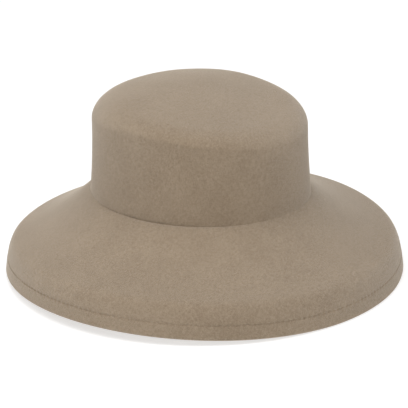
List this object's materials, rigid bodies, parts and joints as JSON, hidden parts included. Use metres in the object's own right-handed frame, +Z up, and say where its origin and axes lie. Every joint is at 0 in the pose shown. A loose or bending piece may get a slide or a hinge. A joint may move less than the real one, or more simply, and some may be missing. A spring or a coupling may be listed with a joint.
{
  "type": "wool felt hat with a bell-shaped brim",
  "caption": "Plain blocked felt hat: oval crown with a nearly flat top, sharp crease, and a wide bell-shaped brim with a turned-under hem.",
  "frame": {"origin": "on the surface that the hat rests on, under the middle of its length and width", "axes": "+Z up through the crown, -Y towards the front of the hat, +X to the right seen from the front"},
  "size_m": [0.3354, 0.3362, 0.1573],
  "materials": {
    "felt": "matt wool felt in a light grey-brown, fine short nap, no visible weave"
  },
  "bodies": {
    "root": {"felt_body": "felt"}
  },
  "joints": []
}
